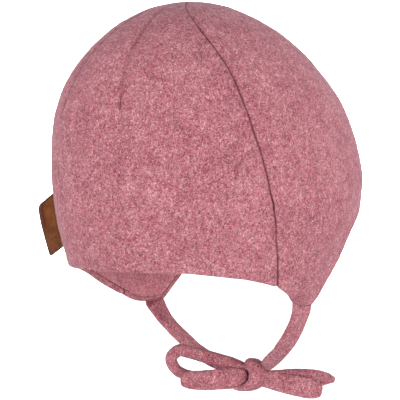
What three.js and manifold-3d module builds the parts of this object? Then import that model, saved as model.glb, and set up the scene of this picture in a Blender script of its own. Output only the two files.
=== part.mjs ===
// Toddler's tie-on winter hat: two outer cloth panels with crown darts, a lining, cloth ties in a bow
// and a leather tab in the side seam. Millimetres, +Z up, the face looks along -Y, and the wearer's
// right is -X. The origin is on the inside of the crown, above the middle of the head.

import * as THREE from "three";
import { mergeVertices } from "three/addons/utils/BufferGeometryUtils.js";
import Module from "manifold-3d";

const wasm = await Module();
wasm.setup();

// Cloth layers
const OUTER_CLOTH = 1.6; // outer panels
const LINING_CLOTH = 1.2;
const GAP = 0.3; // between pieces that touch
const HEM = 2.6; // outer cloth turned in round the rim, up to the lining's edge
const WALL = OUTER_CLOTH + GAP + LINING_CLOTH;

// Head form
const SEAT_FALL = 2.2; // from the crown's top down to the point above the head's middle
const TOP_Z = WALL + SEAT_FALL;
const WIDTH_SHARE = 0.83; // the head's width over its length
const SEAM_DENT = 1.2; // how deep the side seams pull the cloth in
const DART_DENT = 1.1;
const DART_END = 62; // a dart's point, below the crown's top
const DART_FADE = 16; // and the length over which its dent runs out

// Mesh fineness
const ROWS = 14; // down a panel
const HEM_ROW = ROWS - 2; // the row level with the hem's inner edge
const STRAP_SIDES = 12;
const STRAP_CORNER = 0.72; // a strap's section: 1 is an ellipse, 0 a box

// The hat's form at several heights, from the crown's top down. centreY is its shift to the back.
const headForm = [
  { drop: 0, halfLength: 0, centreY: 21 },
  { drop: 9, halfLength: 36.8, centreY: 10 },
  { drop: 30, halfLength: 64.6, centreY: 7.4 },
  { drop: 50, halfLength: 78.6, centreY: 5 },
  { drop: 74, halfLength: 86, centreY: 1.4 },
  { drop: 90, halfLength: 88, centreY: -1 },
  { drop: 106, halfLength: 86, centreY: -1 },
  { drop: 121, halfLength: 82, centreY: 0 },
  { drop: 137, halfLength: 76.6, centreY: 0.2 },
  { drop: 158, halfLength: 66.8, centreY: 0 },
];

// The rim's height by degrees round from the middle of the back, on the wearer's right and left.
const rim = [
  { azimuth: 0, right: 138.3, left: 138.3 },
  { azimuth: 20, right: 138.5, left: 137.2 },
  { azimuth: 40, right: 138.7, left: 136.4 },
  { azimuth: 62, right: 141.3, left: 139.6 },
  { azimuth: 75, right: 144, left: 146.5 },
  { azimuth: 84, right: 147, left: 151.8 },
  { azimuth: 91, right: 151.7, left: 155.4 },
  { azimuth: 97, right: 156, left: 157 },
  { azimuth: 108.5, right: 156, left: 157 },
  { azimuth: 113, right: 152, left: 151.5 },
  { azimuth: 118, right: 143.5, left: 142.8 },
  { azimuth: 124, right: 131.5, left: 131.5 },
  { azimuth: 130, right: 120, left: 120 },
  { azimuth: 136, right: 113.3, left: 113.3 },
  { azimuth: 144, right: 110, left: 110 },
  { azimuth: 180, right: 110, left: 110 },
];

// Lines that run down each panel from the crown's top, in degrees round from the middle of the back.
const backLines = [
  { drop: 0, middle: 0, dart: 12, seam: 36 },
  { drop: 14, middle: 0, dart: 15.6, seam: 51.8 },
  { drop: 34, middle: 0, dart: 16.2, seam: 62.8 },
  { drop: 60, middle: 0, dart: 17.2, seam: 67.5 },
  { drop: 95, middle: 0, dart: 18, seam: 72 },
  { drop: 121, middle: 0, dart: 18.8, seam: 77.7 },
  { drop: 158, middle: 0, dart: 19.6, seam: 85 },
];
const frontLines = [
  { drop: 0, seam: 36, tipBack: 78, tipFront: 98, cheek: 116, brow: 131, temple: 147, dart: 168 },
  { drop: 14, seam: 51.8, tipBack: 81, tipFront: 99, cheek: 116, brow: 131, temple: 147, dart: 164.4 },
  { drop: 34, seam: 62.8, tipBack: 85, tipFront: 101, cheek: 117, brow: 131, temple: 147, dart: 163.8 },
  { drop: 60, seam: 67.5, tipBack: 88, tipFront: 103, cheek: 118, brow: 131, temple: 146, dart: 162.8 },
  { drop: 95, seam: 72, tipBack: 91, tipFront: 105, cheek: 118, brow: 131, temple: 144, dart: 162 },
  { drop: 121, seam: 77.7, tipBack: 94, tipFront: 107, cheek: 118, brow: 130, temple: 142, dart: 161.2 },
  { drop: 158, seam: 85, tipBack: 97, tipFront: 108.5, cheek: 118, brow: 129, temple: 142, dart: 160.4 },
];

// Mesh columns between one line and the next
const backSteps = [
  { line: "middle", steps: 3 },
  { line: "dart", steps: 8 },
  { line: "seam", steps: 0 },
];
const frontSteps = [
  { line: "seam", steps: 2 },
  { line: "tipBack", steps: 2 },
  { line: "tipFront", steps: 2 },
  { line: "cheek", steps: 2 },
  { line: "brow", steps: 2 },
  { line: "temple", steps: 3 },
  { line: "dart", steps: 3 },
  { line: "middle", steps: 0 },
];

// Ties, from the ear flap's tip to the knot: the middle of the strap, and the way its width points.
const TIE_SEAT_AZIMUTH = 102.75; // the middle of a flap's tip
const rightTie = [
  { x: -50.2, y: -15.6, z: -158.3, width: 12.4, thick: 4.4, across: [0.25, -1, 0.1] },
  { x: -45.6, y: -17, z: -164.8, width: 12.2, thick: 4.6, across: [0.3, -1, 0.2] },
  { x: -39.2, y: -19, z: -171.2, width: 11.8, thick: 4.8, across: [0.35, -1, 0.4] },
  { x: -29.6, y: -23.2, z: -177, width: 10.8, thick: 5, across: [0.3, -0.8, 0.8] },
  { x: -17.8, y: -28.4, z: -181.8, width: 9, thick: 4.8, across: [0.3, -0.5, 1] },
  { x: -9, y: -32, z: -185, width: 7.4, thick: 4.4, across: [0.3, -0.3, 1] },
  { x: -3.2, y: -33.6, z: -187, width: 6, thick: 4, across: [0.3, -0.3, 1] },
];
const leftTie = [
  { x: 51.3, y: -15, z: -156, width: 12, thick: 4.2, across: [-0.1, -1, -0.1] },
  { x: 47.3, y: -16.2, z: -161.2, width: 11.6, thick: 4.4, across: [0, -1, -0.2] },
  { x: 43, y: -18.8, z: -166.5, width: 11, thick: 4.6, across: [0, -1, -0.2] },
  { x: 38.7, y: -22.6, z: -172, width: 10.2, thick: 4.6, across: [0, -1, -0.1] },
  { x: 34, y: -27, z: -176.9, width: 9.4, thick: 4.6, across: [0.05, -0.9, 0.1] },
  { x: 26.5, y: -31.8, z: -181.4, width: 8.6, thick: 4.4, across: [0.1, -0.6, 0.4] },
  { x: 15.6, y: -36, z: -184.8, width: 7.6, thick: 4.2, across: [0.2, -0.4, 0.7] },
  { x: 3, y: -38.6, z: -187, width: 7, thick: 4, across: [0.3, -0.2, 1] },
];

// The bow has a frame of its own at the knot: x along the bow, y to its outside, z up.
const KNOT = new THREE.Vector3(-2, -32, -188.6);
const BOW_TURN = THREE.MathUtils.degToRad(210);
const knotBand = [
  { x: -3.4, y: -0.5, z: 6.2, width: 3.4, thick: 3, across: [0, 1, 0] },
  { x: -2.6, y: -0.7, z: 5.6, width: 9, thick: 6.6, across: [0, 1, 0] },
  { x: -0.2, y: -1, z: 4.2, width: 13, thick: 9, across: [0, 1, 0] },
  { x: 1.6, y: -1, z: 1.2, width: 15.2, thick: 9.2, across: [0, 1, 0] },
  { x: 1.5, y: -1, z: -2.2, width: 15.4, thick: 9.2, across: [0, 1, 0] },
  { x: -0.6, y: -1, z: -5.2, width: 14.2, thick: 8.8, across: [0, 1, 0] },
  { x: -3.8, y: -1.2, z: -6.9, width: 11.4, thick: 7.2, across: [0, 1, 0] },
  { x: -6.8, y: -1.6, z: -7.2, width: 8.4, thick: 5, across: [0, 1, 0] },
  { x: -8.8, y: -1.8, z: -7.1, width: 3.4, thick: 2.4, across: [0, 1, 0] },
];
const loopLeft = [
  { x: -2, y: 1, z: 2.6, width: 6.4, thick: 3.4, across: [0, 1, 0] },
  { x: -9.8, y: 1.8, z: 4.3, width: 8.6, thick: 5.2, across: [-0.27, 0.96, 0] },
  { x: -16.5, y: 2.2, z: 5.9, width: 9.8, thick: 6.2, across: [-0.27, 0.96, 0] },
  { x: -25.4, y: 2.4, z: 8.2, width: 10.2, thick: 6.5, across: [-0.27, 0.96, 0] },
  { x: -34.4, y: 2.4, z: 10.8, width: 10.4, thick: 6.4, across: [-0.27, 0.96, 0] },
  { x: -41, y: 2.6, z: 11.5, width: 10.6, thick: 6.2, across: [-0.27, 0.96, 0] },
  { x: -45.4, y: 3, z: 7.6, width: 10.8, thick: 6, across: [-0.27, 0.96, 0] },
  { x: -42.5, y: 3.6, z: 2.1, width: 10.6, thick: 6, across: [-0.27, 0.96, 0] },
  { x: -35, y: 4, z: -1.5, width: 10.2, thick: 6, across: [-0.27, 0.96, 0] },
  { x: -25.4, y: 4.2, z: -2.2, width: 9.4, thick: 5.6, across: [-0.2, 0.98, 0] },
  { x: -15, y: 3.8, z: -2, width: 8, thick: 4.6, across: [0, 1, 0] },
  { x: -2, y: 3, z: -2, width: 6, thick: 3.8, across: [0, 1, 0] },
];
const tailLeft = [
  { x: -2, y: -3, z: -1.9, width: 8.6, thick: 3.6, across: [0, 0, 1] },
  { x: -9, y: -4.6, z: -2.1, width: 10.8, thick: 5, across: [0, 0, 1] },
  { x: -23.6, y: -5, z: -3.3, width: 10.2, thick: 5.4, across: [0, 0, 1] },
  { x: -33.4, y: -5, z: -3.6, width: 9, thick: 5.2, across: [0, 0, 1] },
  { x: -36.8, y: -5, z: -3.5, width: 6.8, thick: 4.4, across: [0, 0, 1] },
  { x: -38, y: -5, z: -3.5, width: 3.6, thick: 2.6, across: [0, 0, 1] },
];
const loopRight = [
  { x: 2, y: 1.6, z: -2.6, width: 6, thick: 3.4, across: [0, 0, 1] },
  { x: 9.2, y: 1.2, z: -2.6, width: 8.8, thick: 4.2, across: [0, 0, 1] },
  { x: 18.4, y: 1, z: -2.5, width: 10, thick: 4.8, across: [0, 0, 1] },
  { x: 27, y: 1, z: -2.2, width: 10, thick: 4.8, across: [0, 0, 1] },
  { x: 34, y: 1.4, z: -2.4, width: 8.8, thick: 4.6, across: [0, 0.1, 1] },
  { x: 39.4, y: 3, z: -3.4, width: 6.2, thick: 4.4, across: [0, 0.3, 1] },
  { x: 40.8, y: 5.4, z: -3.7, width: 5, thick: 4.2, across: [0, 0.3, 1] },
  { x: 37, y: 8, z: -3.1, width: 7, thick: 4.4, across: [0, 0.2, 1] },
  { x: 30.3, y: 8.8, z: -2.2, width: 8.6, thick: 4.6, across: [0, 0.1, 1] },
  { x: 22.1, y: 8.4, z: -2, width: 8.8, thick: 4.6, across: [0, 0, 1] },
  { x: 13.1, y: 7.4, z: -2, width: 7.8, thick: 4.2, across: [0, 0, 1] },
  { x: 2, y: 5.4, z: -2.4, width: 5, thick: 3, across: [0, 0, 1] },
];
const tailRight = [
  { x: 2, y: -3, z: -2, width: 7, thick: 3.6, across: [0, 0, 1] },
  { x: 12, y: -3.8, z: -3.4, width: 9.8, thick: 4.6, across: [0, -0.1, 1] },
  { x: 21, y: -4.2, z: -5.4, width: 11, thick: 5, across: [0, -0.2, 1] },
  { x: 30, y: -4.2, z: -7, width: 11.4, thick: 5, across: [0, -0.2, 1] },
  { x: 35.6, y: -4.2, z: -7.8, width: 10.2, thick: 4.8, across: [0, -0.2, 1] },
  { x: 37.8, y: -4.2, z: -8, width: 6.4, thick: 3, across: [0, -0.2, 1] },
];

// The folded leather tab, sewn into the wearer's left side seam
const tab = { top: 88, bottom: 115, reach: 21.4, fall: 17.6, thick: 2.6, lean: 34 };
const TAB_ROOT = 0.1; // the share of its reach that starts inside the cloth

const FLEECE = { color: 0xb97480, roughness: 0.95, metalness: 0 };
const LEATHER = { color: 0x7a4a24, roughness: 0.6, metalness: 0 };

// The monotone cubic through one column of a table, as a function of its key column.
function tableCurve(rows, key, column) {
  const xs = rows.map((row) => row[key]);
  const ys = rows.map((row) => row[column]);
  const last = xs.length - 1;
  const rise = xs.slice(1).map((x, i) => (ys[i + 1] - ys[i]) / (x - xs[i]));
  const slopes = xs.map((_, i) => {
    if (i === 0 || i === last) return rise[Math.min(i, last - 1)];
    const product = rise[i - 1] * rise[i];
    return product > 0 ? (2 * product) / (rise[i - 1] + rise[i]) : 0;
  });
  return (at) => {
    const x = THREE.MathUtils.clamp(at, xs[0], xs[last]);
    let i = 0;
    while (i < last - 1 && x > xs[i + 1]) i += 1;
    const span = xs[i + 1] - xs[i];
    const t = (x - xs[i]) / span;
    const u = 1 - t;
    const ends = ys[i] * u * u * (1 + 2 * t) + ys[i + 1] * t * t * (3 - 2 * t);
    return ends + span * t * u * (slopes[i] * u - slopes[i + 1] * t);
  };
}

const formRoots = headForm.map((row) => ({ ...row, root: Math.sqrt(row.drop) }));
const halfLengthAt = tableCurve(formRoots, "root", "halfLength");
const centreYAt = tableCurve(formRoots, "root", "centreY");
const rimAt = { 1: tableCurve(rim, "azimuth", "right"), [-1]: tableCurve(rim, "azimuth", "left") };

// A point of the hat's outer form. root is the square root of the drop, so the crown's top is smooth.
function formPoint(azimuth, root) {
  const turn = THREE.MathUtils.degToRad(azimuth);
  const halfLength = halfLengthAt(root);
  const x = -WIDTH_SHARE * halfLength * Math.sin(turn);
  const y = centreYAt(root) + halfLength * Math.cos(turn);
  return new THREE.Vector3(x, y, TOP_Z - root * root);
}

function formNormal(azimuth, root) {
  if (root < 1e-6) return new THREE.Vector3(0, 0, 1);
  const step = 0.01;
  const down = formPoint(azimuth, root + step).sub(formPoint(azimuth, root - step));
  const round = formPoint(azimuth + 1, root).sub(formPoint(azimuth - 1, root));
  return down.cross(round).normalize();
}

// A point inside the cloth: depth is measured inward from the outer form, dents included.
function wallPoint(column, drop, depth) {
  const root = Math.sqrt(drop);
  const azimuth = column.azimuth(drop);
  const inward = depth + column.dent(drop);
  return formPoint(azimuth, root).addScaledVector(formNormal(azimuth, root), -inward);
}

function dentAt(line, drop) {
  if (line === "seam") return SEAM_DENT * Math.min(1, drop / DART_FADE);
  if (line !== "dart") return 0;
  const fade = THREE.MathUtils.clamp((DART_END - drop) / DART_FADE, 0, 1);
  return DART_DENT * fade * Math.min(1, drop / DART_FADE);
}

// One mesh column, part of the way from one line to the next, on the wearer's right (1) or left (-1).
function makeColumn(panelLines, middle, from, to, share, side) {
  const curve = (name) => (name === "middle" ? () => middle : tableCurve(panelLines, "drop", name));
  const start = curve(from);
  const end = curve(to);
  const away = (drop) => THREE.MathUtils.lerp(start(drop), end(drop), share);
  const dentLine = share === 0 ? from : share === 1 ? to : "";
  let rimDrop = 150;
  for (let pass = 0; pass < 12; pass += 1) rimDrop = rimAt[side](away(rimDrop));
  const near = away(rimDrop);
  const arc = THREE.MathUtils.degToRad(2) * halfLengthAt(Math.sqrt(rimDrop));
  const slope = (rimAt[side](near + 1) - rimAt[side](near - 1)) / arc;
  return {
    azimuth: (drop) => side * away(drop),
    dent: (drop) => dentAt(dentLine, drop),
    rimDrop,
    hem: HEM * Math.hypot(1, slope),
  };
}

// The columns of half a panel, in the order of its lines.
function halfColumns(panelLines, middle, steps, side) {
  const columns = [];
  for (let i = 0; i < steps.length - 1; i += 1) {
    const count = steps[i].steps;
    const first = i === 0 ? 0 : 1;
    for (let k = first; k <= count; k += 1) {
      columns.push(makeColumn(panelLines, middle, steps[i].line, steps[i + 1].line, k / count, side));
    }
  }
  return columns;
}

function panelColumns(panelLines, middle, steps) {
  const right = halfColumns(panelLines, middle, steps, 1);
  const left = halfColumns(panelLines, middle, steps, -1);
  // Both halves of the back start at the middle, and both halves of the front end there.
  if (middle === 0) return [...left.reverse(), ...right.slice(1)];
  return [...right, ...left.reverse().slice(1)];
}

// Rows lie close together on the crown and evenly down the sides.
const rowShare = (row, rows) => 1 - Math.cos((row / rows) * (Math.PI / 2));

// A closed mesh from a three.js geometry whose points have been moved: seams merged, empty triangles
// dropped, and faces pointing out.
function closedGeometry(geometry) {
  geometry.deleteAttribute("normal");
  geometry.deleteAttribute("uv");
  geometry.clearGroups();
  const merged = mergeVertices(geometry, 1e-3);
  const position = merged.getAttribute("position");
  const index = merged.getIndex().array;
  const corner = [new THREE.Vector3(), new THREE.Vector3(), new THREE.Vector3()];
  const kept = [];
  let volume = 0;
  for (let i = 0; i < index.length; i += 3) {
    const [a, b, c] = [index[i], index[i + 1], index[i + 2]];
    if (a === b || b === c || c === a) continue;
    kept.push(a, b, c);
    corner.forEach((point, k) => point.fromBufferAttribute(position, index[i + k]));
    volume += corner[0].dot(corner[1].clone().cross(corner[2]));
  }
  merged.setIndex(volume > 0 ? kept : kept.reverse());
  merged.computeVertexNormals();
  return merged;
}

// Where a row lies on a column: HEM_ROW is level with the hem's edge, and the last row is the rim.
// On the inside the row between them only steps inward.
function rowDrop(column, row, outside) {
  if (row === ROWS) return column.rimDrop;
  const lower = outside && row > HEM_ROW ? column.hem / 2 : 0;
  return (column.rimDrop - column.hem) * rowShare(Math.min(row, HEM_ROW), HEM_ROW) + lower;
}

// An outer panel: a thin box bent over the head form, its inner face turned in at the rim as a hem.
function panelGeometry(columns) {
  const box = new THREE.BoxGeometry(1, 1, 1, columns.length - 1, ROWS, 1);
  const position = box.getAttribute("position");
  for (let i = 0; i < position.count; i += 1) {
    const column = columns[Math.round((position.getX(i) + 0.5) * (columns.length - 1))];
    const row = Math.round((0.5 - position.getY(i)) * ROWS);
    const outside = position.getZ(i) < 0;
    const depth = row > HEM_ROW ? WALL : OUTER_CLOTH;
    const point = wallPoint(column, rowDrop(column, row, outside), outside ? 0 : depth);
    position.setXYZ(i, point.x, point.y, point.z);
  }
  return closedGeometry(box);
}

// The lining: a ring of the same columns, down its outer face and back up its inner one.
function liningGeometry(columns) {
  const profile = [];
  for (let k = 0; k <= 2 * HEM_ROW + 1; k += 1) {
    const outside = k <= HEM_ROW;
    const row = outside ? k : 2 * HEM_ROW + 1 - k;
    profile.push({ share: rowShare(row, HEM_ROW), depth: outside ? OUTER_CLOTH + GAP : WALL });
  }
  const points = profile.map((row) => new THREE.Vector2(row.share, -row.depth));
  const ring = new THREE.LatheGeometry(points, columns.length);
  const position = ring.getAttribute("position");
  for (let i = 0; i < position.count; i += 1) {
    const column = columns[Math.floor(i / profile.length) % columns.length];
    const { share, depth } = profile[i % profile.length];
    const edge = column.rimDrop - column.hem - GAP * (column.hem / HEM);
    const point = wallPoint(column, edge * share, depth);
    position.setXYZ(i, point.x, point.y, point.z);
  }
  return closedGeometry(ring);
}

// A strap: a cylinder bent along the rows' middles, its section a rounded box of their sizes.
function strapGeometry(rows, steps) {
  const path = new THREE.CatmullRomCurve3(rows.map((row) => new THREE.Vector3(row.x, row.y, row.z)));
  const acrossPath = new THREE.CatmullRomCurve3(rows.map((row) => new THREE.Vector3(...row.across)));
  const numbered = rows.map((row, i) => ({ ...row, i }));
  const widthAt = tableCurve(numbered, "i", "width");
  const thickAt = tableCurve(numbered, "i", "thick");
  const rounded = (value) => {
    if (Math.abs(value) < 1e-9) return 0;
    return Math.sign(value) * Math.abs(value) ** STRAP_CORNER;
  };
  const cylinder = new THREE.CylinderGeometry(1, 1, 1, STRAP_SIDES, steps);
  const position = cylinder.getAttribute("position");
  for (let i = 0; i < position.count; i += 1) {
    const t = 0.5 - position.getY(i);
    const at = t * (rows.length - 1);
    const along = path.getTangent(t);
    const across = acrossPath.getPoint(t).projectOnPlane(along).normalize();
    const face = along.clone().cross(across);
    const point = path.getPoint(t);
    point.addScaledVector(across, 0.5 * widthAt(at) * rounded(position.getX(i)));
    point.addScaledVector(face, 0.5 * thickAt(at) * rounded(position.getZ(i)));
    position.setXYZ(i, point.x, point.y, point.z);
  }
  return closedGeometry(cylinder);
}

// A tie starts square under the flap's tip, in the middle of its wall.
function tieRows(side, rows) {
  const column = { azimuth: () => side * TIE_SEAT_AZIMUTH, dent: () => 0 };
  const tipDrop = rimAt[side](TIE_SEAT_AZIMUTH);
  const seat = wallPoint(column, tipDrop, WALL / 2);
  const top = TOP_Z - tipDrop - GAP;
  const start = { x: seat.x, y: seat.y, width: 12.6, across: [side * 0.19, -1, 0] };
  return [{ ...start, z: top, thick: 3.4 }, { ...start, z: top - 1.2, thick: 3.7 }, ...rows];
}

// The tab stands out from the left side seam, leaning to the back and drooping, with its edge along
// the seam. It starts inside the cloth, and is cut back to the hat's outer form.
function tabGeometry() {
  const seamAt = tableCurve(backLines, "drop", "seam");
  const column = { azimuth: (drop) => -seamAt(drop), dent: () => 0 };
  const middleDrop = 0.5 * (tab.top + tab.bottom);
  const out = formNormal(-seamAt(middleDrop), Math.sqrt(middleDrop)).setZ(0).normalize();
  out.applyAxisAngle(new THREE.Vector3(0, 0, 1), THREE.MathUtils.degToRad(tab.lean));
  const outward = out.multiplyScalar(tab.reach).setZ(-tab.fall);
  const seam = wallPoint(column, tab.top, 0).sub(wallPoint(column, tab.bottom, 0));
  const face = outward.clone().cross(seam).normalize();
  const box = new THREE.BoxGeometry(1, 1, 1, 4, 4, 1);
  const position = box.getAttribute("position");
  for (let i = 0; i < position.count; i += 1) {
    const share = THREE.MathUtils.lerp(-TAB_ROOT, 1, position.getX(i) + 0.5);
    const drop = THREE.MathUtils.lerp(tab.bottom, tab.top, position.getY(i) + 0.5);
    const point = wallPoint(column, drop, 0).addScaledVector(outward, share);
    point.addScaledVector(face, tab.thick * position.getZ(i));
    position.setXYZ(i, point.x, point.y, point.z);
  }
  return closedGeometry(box);
}

// The hat's outer form as one solid, stood out from the cloth by a gap.
function formGeometry(columns) {
  const points = Array.from({ length: ROWS + 2 }, (_, row) => new THREE.Vector2((row / ROWS) % 1, -row));
  const form = new THREE.LatheGeometry(points, columns.length);
  const position = form.getAttribute("position");
  for (let i = 0; i < position.count; i += 1) {
    const column = columns[Math.floor(i / points.length) % columns.length];
    const row = i % points.length;
    const point = wallPoint(column, rowDrop(column, Math.min(row, ROWS), true), -GAP);
    if (row > ROWS) point.set(0, 0, -HEM);
    position.setXYZ(i, point.x, point.y, point.z);
  }
  return closedGeometry(form);
}

function solidOf(geometry) {
  const position = geometry.getAttribute("position");
  const vertProperties = new Float32Array(position.array);
  const triVerts = new Uint32Array(geometry.getIndex().array);
  return new wasm.Manifold(new wasm.Mesh({ numProp: 3, vertProperties, triVerts }));
}

// The largest piece of a geometry that is left outside the others.
function cutClear(geometry, others) {
  let solid = solidOf(geometry);
  others.forEach((other) => {
    solid = solid.subtract(solidOf(other));
  });
  const bodies = solid.decompose().sort((a, b) => b.volume() - a.volume());
  const mesh = bodies[0].getMesh();
  const cut = new THREE.BufferGeometry();
  cut.setAttribute("position", new THREE.BufferAttribute(mesh.vertProperties, 3));
  cut.setIndex(Array.from(mesh.triVerts));
  cut.computeVertexNormals();
  return cut;
}

// A strap's rows a gap larger all round and longer at its ends, for cutting its neighbours clear of it.
function grown(rows) {
  const wide = rows.map((row) => ({ ...row, width: row.width + 2 * GAP, thick: row.thick + 2 * GAP }));
  const last = rows.length - 1;
  [[0, 1], [last, last - 1]].forEach(([end, next]) => {
    const point = new THREE.Vector3().copy(rows[end]);
    const beyond = point.clone().sub(rows[next]).setLength(GAP).add(point);
    Object.assign(wide[end], { x: beyond.x, y: beyond.y, z: beyond.z });
  });
  return wide;
}

const hat = new THREE.Group();
const bow = new THREE.Group();
bow.position.copy(KNOT);
bow.rotation.z = BOW_TURN;
bow.updateMatrix();
hat.add(bow);

function addPiece(parent, name, geometry, look = FLEECE) {
  const piece = new THREE.Mesh(geometry, new THREE.MeshStandardMaterial(look));
  piece.name = name;
  parent.add(piece);
  return piece;
}

const backColumns = panelColumns(backLines, 0, backSteps);
const frontColumns = panelColumns(frontLines, 180, frontSteps);
const allColumns = [...backColumns, ...frontColumns.slice(1, -1)];
// Each panel stands half a gap away from the side seams.
addPiece(hat, "back_panel", panelGeometry(backColumns)).position.y = GAP / 2;
addPiece(hat, "front_panel", panelGeometry(frontColumns)).position.y = -GAP / 2;
addPiece(hat, "lining", liningGeometry(allColumns));
addPiece(hat, "label_tab", cutClear(tabGeometry(), [formGeometry(allColumns)]), LEATHER);

// The bow's straps end against the knot, and the ties pass clear of the loops and tails.
const knotRoom = strapGeometry(grown(knotBand), 12);
const loopLeftRoom = strapGeometry(grown(loopLeft), 30);
const loopRightRoom = strapGeometry(grown(loopRight), 24);
const tailRightRoom = strapGeometry(grown(tailRight), 14);
addPiece(bow, "bow_knot", strapGeometry(knotBand, 12));
addPiece(bow, "bow_loop_left", cutClear(strapGeometry(loopLeft, 30), [knotRoom]));
addPiece(bow, "bow_tail_left", cutClear(strapGeometry(tailLeft, 14), [knotRoom, loopLeftRoom]));
addPiece(bow, "bow_loop_right", cutClear(strapGeometry(loopRight, 24), [knotRoom, tailRightRoom]));
addPiece(bow, "bow_tail_right", cutClear(strapGeometry(tailRight, 14), [knotRoom]));
const placed = (geometry) => geometry.clone().applyMatrix4(bow.matrix);
const rightRooms = [knotRoom, loopRightRoom, tailRightRoom].map(placed);
const leftRooms = [knotRoom, loopLeftRoom].map(placed);
addPiece(hat, "right_tie", cutClear(strapGeometry(tieRows(1, rightTie), 18), rightRooms));
addPiece(hat, "left_tie", cutClear(strapGeometry(tieRows(-1, leftTie), 20), leftRooms));

export default hat;
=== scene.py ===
import math

import bmesh
import bpy
import numpy as np
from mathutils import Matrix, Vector


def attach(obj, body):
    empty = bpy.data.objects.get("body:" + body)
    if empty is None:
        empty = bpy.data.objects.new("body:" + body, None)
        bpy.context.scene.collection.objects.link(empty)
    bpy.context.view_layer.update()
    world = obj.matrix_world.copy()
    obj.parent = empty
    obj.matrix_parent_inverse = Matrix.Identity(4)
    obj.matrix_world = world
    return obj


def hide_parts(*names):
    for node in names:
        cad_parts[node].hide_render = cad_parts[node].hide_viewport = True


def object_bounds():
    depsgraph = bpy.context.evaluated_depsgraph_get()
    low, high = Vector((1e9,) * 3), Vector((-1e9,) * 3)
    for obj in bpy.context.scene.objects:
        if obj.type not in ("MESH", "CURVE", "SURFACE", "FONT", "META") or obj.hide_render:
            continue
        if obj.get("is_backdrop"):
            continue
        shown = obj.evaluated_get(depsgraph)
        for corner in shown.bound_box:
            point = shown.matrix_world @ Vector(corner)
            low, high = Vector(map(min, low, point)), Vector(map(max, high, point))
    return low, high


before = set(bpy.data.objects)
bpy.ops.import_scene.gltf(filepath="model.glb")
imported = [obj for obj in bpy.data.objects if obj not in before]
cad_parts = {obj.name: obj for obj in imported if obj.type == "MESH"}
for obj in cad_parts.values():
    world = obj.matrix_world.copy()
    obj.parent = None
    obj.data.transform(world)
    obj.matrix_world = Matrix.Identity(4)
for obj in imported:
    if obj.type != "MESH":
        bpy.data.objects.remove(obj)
CAD_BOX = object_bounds()
MM = 0.001


# ---- The hat's measures -------------------------------------------------------------------------
def table(names, *rows):
    """A table with named columns."""
    return dict(zip(names.split(), np.array(rows, float).T))


OUTER_CLOTH = 1.6
LINING_CLOTH = 1.2
GAP = 0.3  # between the two cloths
HEM = 2.6  # outer cloth turned in round the rim
FLAP_HEM = 1.7  # the same round the flaps and the face
WALL = OUTER_CLOTH + GAP + LINING_CLOTH
TOP_Z = WALL + 2.2  # the crown's outside; the origin is on the crown's inside
WIDTH_SHARE = 0.83  # the head's width over its length

# The hat's form from the crown's top down
HEAD_FORM = table(
    "drop half_length centre_y",
    (0, 0, 11.4),
    (9, 36.8, 9.9),
    (20, 54, 8.6),
    (34, 68.6, 6.7),
    (50, 79.1, 4.6),
    (62, 83.6, 3),
    (74, 86.3, 1),
    (90, 88.1, -1.1),
    (106, 86.3, -1.6),
    (121, 82, -0.2),
    (137, 76.8, 0.3),
    (158, 66.8, 0),
)
HEAD_FORM["root"] = np.sqrt(HEAD_FORM["drop"])
# The rim's height, by degrees round from the middle of the back
RIM = table(
    "azimuth right left",
    (0, 138.5, 138.5),
    (20, 139, 137.4),
    (40, 139.5, 136.9),
    (52, 140.6, 137.8),
    (62, 141.9, 140.8),
    (75, 144.6, 148.5),
    (84, 147.3, 153.3),
    (91, 151.4, 156.3),
    (95.6, 155.2, 157),
    (98, 156.4, 157),
    (103, 156.8, 156.6),
    (106.5, 156.9, 156.1),
    (110, 156.8, 153),
    (112.4, 155, 150.2),
    (118, 143.7, 143),
    (124, 131.5, 131.5),
    (130, 120, 120),
    (136, 113.3, 113.3),
    (144, 110, 110),
    (180, 110, 110),
)
# The side seam and the darts, in degrees round from the middle of the back
SEAMS = table(
    "drop seam back_dart front_dart",
    (0, 36, 12, 168),
    (14, 51.8, 15.6, 164.4),
    (34, 62.8, 16.6, 163.4),
    (60, 67.5, 18, 162),
    (95, 72, 18.6, 161.4),
    (121, 77.7, 18.8, 161.2),
    (158, 85, 19.6, 160.4),
)
DART_END = 60  # the drop at which the darts run out
TIP_AZIMUTH = 103  # the middle of a flap's tip
TIP_DROP = 157
SEAM_GAP = 0.12  # between the two panels along a side seam
# Uneven places down the side seam, as (drop, reach, height): jogs of the stitched line in mm, and
# how much more or less painted shade lies in the seam's crease there
SEAM_JOGS = ((104, 2.4, 0.45), (109.5, 2, -0.35))
SEAM_SHADES = ((102, 6, 0.4), (24, 5, 0.2), (37, 6, -0.2))
# Two creases of the right side, by azimuth and drop
PINCH_AT = (50, 29.5)
PULL_AT = (86.5, 40)


def curve(rows, key, column):
    """The monotone cubic through one column of a table, as a function of its key column."""
    xs, ys = rows[key], rows[column]
    rise = np.diff(ys) / np.diff(xs)
    product = rise[:-1] * rise[1:]
    total = np.where(product > 0, rise[:-1] + rise[1:], 1)
    inner = np.where(product > 0, 2 * product / total, 0)
    slopes = np.concatenate((rise[:1], inner, rise[-1:]))

    def at(value):
        x = np.clip(value, xs[0], xs[-1])
        i = np.clip(np.searchsorted(xs, x, side="left") - 1, 0, len(xs) - 2)
        span = xs[i + 1] - xs[i]
        t = (x - xs[i]) / span
        u = 1 - t
        ends = ys[i] * u * u * (1 + 2 * t) + ys[i + 1] * t * t * (3 - 2 * t)
        return ends + span * t * u * (slopes[i] * u - slopes[i + 1] * t)

    return at


half_length = curve(HEAD_FORM, "root", "half_length")
centre_y = curve(HEAD_FORM, "root", "centre_y")
rim_right = curve(RIM, "azimuth", "right")
rim_left = curve(RIM, "azimuth", "left")
seam_line = curve(SEAMS, "drop", "seam")
dart_lines = [curve(SEAMS, "drop", "back_dart"), curve(SEAMS, "drop", "front_dart")]


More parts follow.
